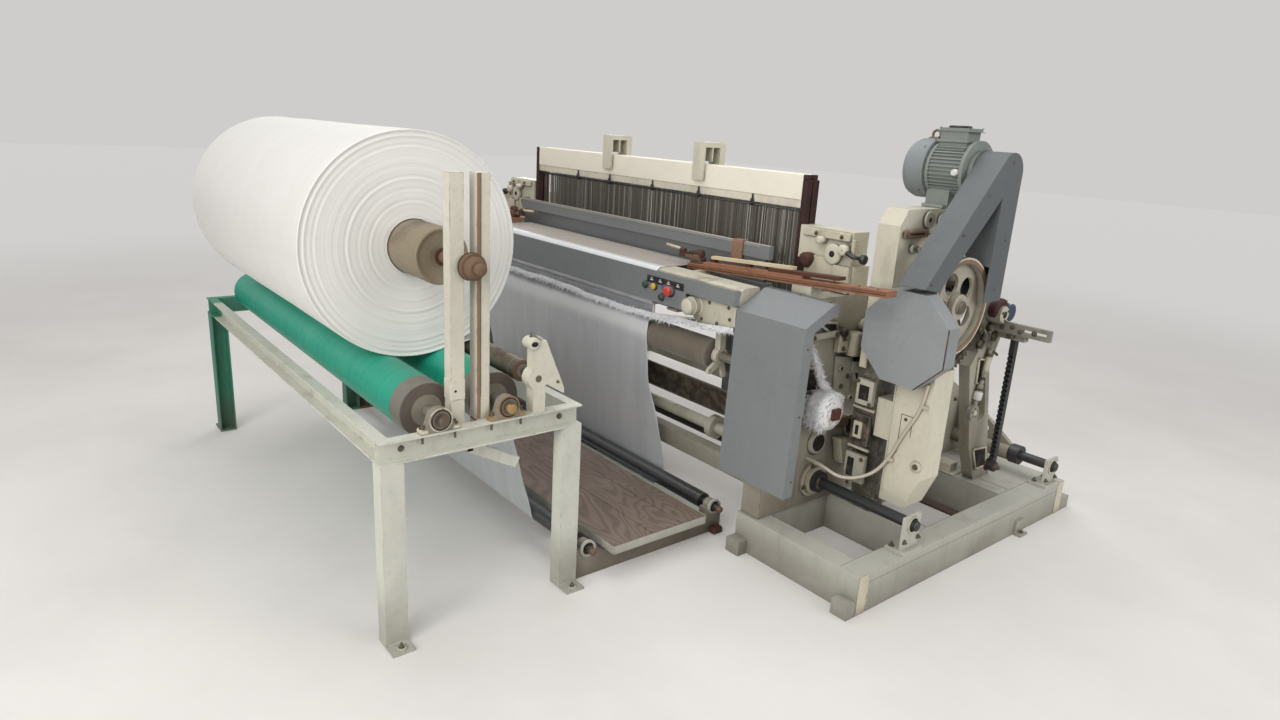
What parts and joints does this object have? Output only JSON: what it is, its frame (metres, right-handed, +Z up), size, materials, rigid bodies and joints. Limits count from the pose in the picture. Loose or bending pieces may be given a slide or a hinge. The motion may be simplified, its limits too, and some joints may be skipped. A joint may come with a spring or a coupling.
{
  "type": "shuttleless loom",
  "caption": "Rapier loom without its warp, with reed, heald frames, wheel covers, motor and belt guard, its cloth led under a footboard to a surface winder that carries a large batch roll.",
  "frame": {"origin": "on the floor below the middle of the whole plant", "axes": "+X to the drive end with the motor, +Y from the batch winder to the back of the loom, +Z up"},
  "size_m": [3.8, 3.142, 1.704],
  "materials": {
    "cream_paint": "worn satin",
    "blue_grey_paint": "satin",
    "base_paint": "dirty satin",
    "green_paint": "satin",
    "roller_rubber": "matte",
    "bright_steel": "worn",
    "dark_steel": "oily",
    "cloth": "plain weave",
    "board": "dusty",
    "card": "matte",
    "heald_aluminium": "satin",
    "track_wood": "oiled",
    "yarn": "fibrous",
    "conduit_grey": "matte",
    "motor_paint": "satin"
  },
  "bodies": {
    "frame": {"winder_table": "cream_paint", "winder_legs": "cream_paint", "pillow_blocks": "dark_steel", "guide_posts": "cream_paint", "spreader_brackets": "cream_paint", "floor_frame": "cream_paint", "footboard": "board", "cloth_breast": "cloth", "cloth_fall": "cloth", "cloth_rise": "cloth", "base_frame_right": "base_paint", "base_frame_left": "base_paint", "side_frame_right": "cream_paint", "side_frame_left": "cream_paint", "breast_beam": "cream_paint", "breast_cover": "blue_grey_paint", "low_rails": "cream_paint", "heald_guides": "cream_paint", "steady_beam": "cream_paint", "front_cover_right": "blue_grey_paint", "front_cover_left": "blue_grey_paint", "columns": "cream_paint", "wheel_cover_right": "blue_grey_paint", "wheel_cover_left": "blue_grey_paint", "stands": "cream_paint", "motor": "motor_paint", "motor_cowl": "motor_paint", "belt_guard": "cream_paint", "rapier_tracks": "track_wood", "track_rests": "cream_paint", "conduit": "conduit_grey", "outriggers": "cream_paint", "lever_stand": "cream_paint", "lever_linkage": "dark_steel", "notched_bar": "dark_steel"},
    "batch": {"batch_cloth": "cloth", "batch_core": "card", "batch_shaft": "bright_steel"},
    "front_drive_roller": {"front_roller_core": "bright_steel", "front_roller_rubber": "roller_rubber"},
    "back_drive_roller": {"back_roller_core": "bright_steel", "back_roller_rubber": "roller_rubber"},
    "spreader": {"spreader_roller": "bright_steel"},
    "front_floor_roller": {"low_roller_front": "bright_steel"},
    "back_floor_roller": {"low_roller_back": "bright_steel"},
    "take_up": {"take_up_roller": "dark_steel"},
    "press": {"press_roller": "bright_steel"},
    "front_shaft": {"front_cross_shaft": "bright_steel"},
    "back_shaft": {"back_cross_shaft": "bright_steel"},
    "main_wheel": {"flywheel": "dark_steel"},
    "crank": {"crank_gear": "dark_steel"},
    "selvedge_reel": {"waste_reel": "track_wood", "waste_yarn": "yarn"},
    "sley": {"sley_beam": "cream_paint", "reed": "dark_steel", "reed_cap": "heald_aluminium"},
    "front_heald": {"heald_frame_front": "heald_aluminium", "heddles_front": "bright_steel"},
    "back_heald": {"heald_frame_back": "heald_aluminium", "heddles_back": "bright_steel"}
  },
  "joints": [
    {"name": "batch_turn", "type": "hinge", "parent": "frame", "child": "batch", "pos_m": [0, -1.183, 1.2044], "axis": [1, 0, 0], "continuous": true},
    {"name": "front_drive_turn", "type": "hinge", "parent": "frame", "child": "front_drive_roller", "pos_m": [0, -1.302, 0.74], "axis": [1, 0, 0], "continuous": true},
    {"name": "back_drive_turn", "type": "hinge", "parent": "frame", "child": "back_drive_roller", "pos_m": [0, -1.064, 0.74], "axis": [1, 0, 0], "continuous": true},
    {"name": "spreader_turn", "type": "hinge", "parent": "frame", "child": "spreader", "pos_m": [0, -0.955, 0.821], "axis": [1, 0, 0], "continuous": true},
    {"name": "front_floor_roller_turn", "type": "hinge", "parent": "frame", "child": "front_floor_roller", "pos_m": [0, -0.717, 0.118], "axis": [1, 0, 0], "continuous": true},
    {"name": "back_floor_roller_turn", "type": "hinge", "parent": "frame", "child": "back_floor_roller", "pos_m": [0, -0.067, 0.118], "axis": [1, 0, 0], "continuous": true},
    {"name": "take_up_turn", "type": "hinge", "parent": "frame", "child": "take_up", "pos_m": [0, -0.02, 0.752], "axis": [1, 0, 0], "continuous": true},
    {"name": "press_turn", "type": "hinge", "parent": "frame", "child": "press", "pos_m": [0, 0.078, 0.699], "axis": [1, 0, 0], "continuous": true},
    {"name": "front_shaft_turn", "type": "hinge", "parent": "frame", "child": "front_shaft", "pos_m": [0, 0.247, 0.268], "axis": [1, 0, 0], "continuous": true},
    {"name": "back_shaft_turn", "type": "hinge", "parent": "frame", "child": "back_shaft", "pos_m": [0, 1.356, 0.252], "axis": [1, 0, 0], "continuous": true},
    {"name": "main_wheel_turn", "type": "hinge", "parent": "frame", "child": "main_wheel", "pos_m": [0, 0.53, 1.05], "axis": [1, 0, 0], "continuous": true},
    {"name": "crank_turn", "type": "hinge", "parent": "frame", "child": "crank", "pos_m": [0, 0.735, 0.91767], "axis": [1, 0, 0], "continuous": true},
    {"name": "selvedge_reel_turn", "type": "hinge", "parent": "frame", "child": "selvedge_reel", "pos_m": [0, 0.19, 0.6], "axis": [1, 0, 0], "continuous": true},
    {"name": "sley_swing", "type": "hinge", "parent": "frame", "child": "sley", "pos_m": [0, 0.25, 0.43], "axis": [1, 0, 0], "range_deg": [-6, 0]},
    {"name": "front_heald_lift", "type": "slide", "parent": "frame", "child": "front_heald", "axis": [0, 0, 1], "range_m": [-0.04, 0.04]},
    {"name": "back_heald_lift", "type": "slide", "parent": "frame", "child": "back_heald", "axis": [0, 0, 1], "range_m": [-0.04, 0.04]}
  ],
  "couplings": [
    {"joint": "front_drive_turn", "follows": "batch_turn", "ratio": -4.2637},
    {"joint": "back_drive_turn", "follows": "batch_turn", "ratio": -4.2637},
    {"joint": "back_heald_lift", "follows": "front_heald_lift", "ratio": -1},
    {"joint": "crank_turn", "follows": "main_wheel_turn", "ratio": -0.32609}
  ]
}
